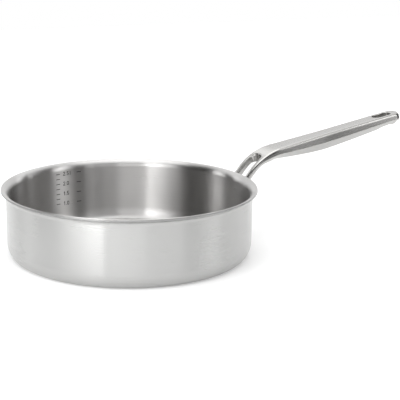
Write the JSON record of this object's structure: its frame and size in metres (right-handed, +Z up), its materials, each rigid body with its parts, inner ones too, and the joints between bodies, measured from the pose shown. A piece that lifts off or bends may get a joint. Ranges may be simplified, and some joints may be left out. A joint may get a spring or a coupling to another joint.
{
  "type": "deep frying pan",
  "caption": "Deep, straight-sided clad steel frying pan with a flared pouring lip, an etched capacity scale and a forked cast handle with a hanging slot.",
  "frame": {"origin": "on the pan's axis, in the plane of the base that it stands on", "axes": "+Z up along the pan's axis, +X from the axis out along the handle, +Y to the side where the capacity scale is"},
  "size_m": [0.4696, 0.2542, 0.1198],
  "materials": {
    "lining_steel": "brushed round the pan",
    "core_aluminium": "plain rolled",
    "skin_steel": "satin, brushed round the pan",
    "handle_steel": "satin casting with softened edges",
    "weld_metal": "as melted"
  },
  "bodies": {
    "root": {"inner_lining": "lining_steel", "heat_core": "core_aluminium", "outer_skin": "skin_steel", "handle": "handle_steel", "weld_nuggets": "weld_metal"}
  },
  "joints": []
}
